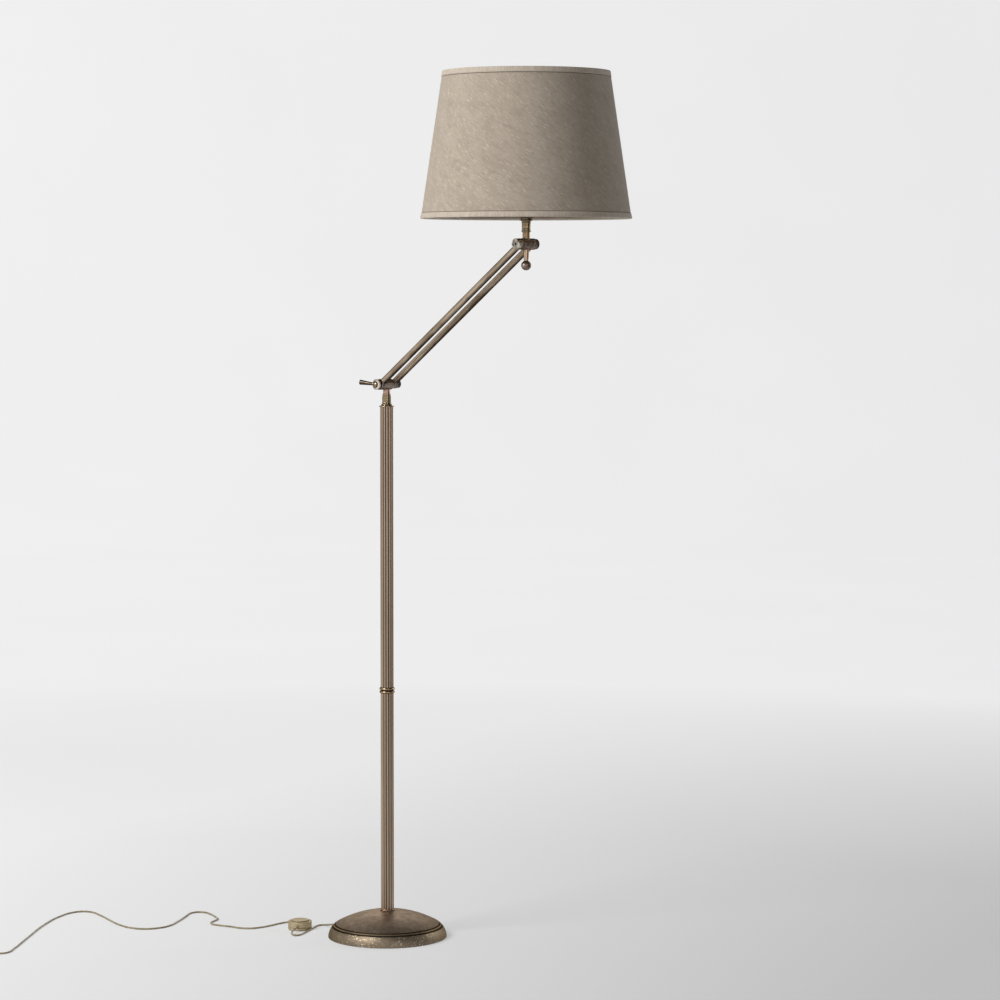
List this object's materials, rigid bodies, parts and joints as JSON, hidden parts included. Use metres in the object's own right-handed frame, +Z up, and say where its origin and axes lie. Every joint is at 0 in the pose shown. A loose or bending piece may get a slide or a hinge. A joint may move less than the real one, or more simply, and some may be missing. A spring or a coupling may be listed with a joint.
{
  "type": "bridge floor lamp",
  "caption": "Floor lamp with a weighted dome base, reeded column, two-tube arm jointed at both ends, tapered linen shade, foot switch and cord.",
  "frame": {"origin": "centre of the round base on the floor", "axes": "+Z up along the column, +X the way the arm reaches, Y along both pivots; the clamp lever is at -Y"},
  "size_m": [1.2838, 0.9397, 1.7977],
  "materials": {
    "bronze": "dark antique bronze with worn golden specks",
    "iron": "rough cast iron",
    "felt": "dense black felt",
    "steel": "zinc plated",
    "black_rubber": "matt",
    "wire": "satin",
    "copper": "coppery antique brass",
    "antique_brass": "brushed antique brass",
    "bush_brass": "machined brass",
    "patina_brass": "speckled dark patina",
    "black_metal": "satin black",
    "black_plastic": "satin black",
    "ceramic": "unglazed white",
    "frosted_glass": "frosted",
    "frame_wire": "white coated wire",
    "linen": "slubbed taupe linen laminated on film",
    "linen_tape": "folded linen tape",
    "olive_plastic": "gold-olive",
    "cord": "transparent gold-beige sheath"
  },
  "bodies": {
    "stand": {"base_shell": "bronze", "base_ballast": "iron", "base_felt": "felt", "base_nut": "steel", "tie_pipe": "steel", "cord_grommet": "black_rubber", "column_wire": "wire", "column_foot_ring": "copper", "column_lower": "antique_brass", "column_coupler": "antique_brass", "column_upper": "antique_brass", "column_cap": "antique_brass", "switch_base": "olive_plastic", "switch_cover": "olive_plastic", "switch_module": "ceramic", "switch_screws": "steel", "cord_lead": "cord", "cord_main": "cord", "cord_coil": "cord", "coil_tie": "black_plastic", "plug_body": "black_plastic", "plug_relief": "black_plastic", "plug_pins": "steel"},
    "button": {"switch_button": "olive_plastic"},
    "knuckle": {"lower_knuckle": "patina_brass", "swivel_nut": "steel", "lower_bushes": "bush_brass"},
    "arm": {"arm_tube_front": "patina_brass", "arm_tube_rear": "patina_brass", "lower_eye_front": "bronze", "lower_eye_rear": "bronze", "upper_eye_front": "bronze", "upper_eye_rear": "bronze", "eye_screws": "antique_brass", "lower_bolt": "black_metal", "lever_washer": "steel", "lever_button": "antique_brass", "upper_bolt": "steel", "upper_cap_disc": "patina_brass", "upper_cap_nut": "black_metal", "arm_wire": "wire"},
    "lever": {"clamp_lever": "antique_brass"},
    "head": {"upper_knuckle": "patina_brass", "upper_bushes": "bush_brass", "ball_finial": "bronze", "stem_collar": "antique_brass", "holder_cup": "antique_brass", "holder_shell": "black_plastic", "holder_insert": "ceramic", "holder_contact": "bush_brass", "shade_ring_nut": "black_plastic", "bulb_glass": "frosted_glass", "bulb_cap": "steel", "shade_carrier": "steel", "shade_wire_bottom": "frame_wire", "shade_wire_top": "frame_wire", "shade_drum": "linen", "shade_trim_bottom": "linen_tape", "shade_trim_top": "linen_tape", "head_wire": "wire"}
  },
  "joints": [
    {"name": "arm_swivel", "type": "hinge", "parent": "stand", "child": "knuckle", "pos_m": [0, 0, 1.14337], "axis": [0, 0, 1], "range_deg": [-170, 170]},
    {"name": "arm_lift", "type": "hinge", "parent": "knuckle", "child": "arm", "pos_m": [0, 0, 1.16637], "axis": [0, -1, 0], "range_deg": [-65, 45]},
    {"name": "lever_turn", "type": "hinge", "parent": "arm", "child": "lever", "pos_m": [0, -0.0276, 1.16637], "axis": [0, -1, 0], "range_deg": [0, 120]},
    {"name": "head_tilt", "type": "hinge", "parent": "arm", "child": "head", "pos_m": [0.40807, 0, 1.4553], "axis": [0, 1, 0], "range_deg": [-42, 90]},
    {"name": "button_press", "type": "slide", "parent": "stand", "child": "button", "axis": [0, 0, -1], "range_m": [0, 0.003], "stiffness_N_per_m": 400, "springref_m": -0.003}
  ]
}
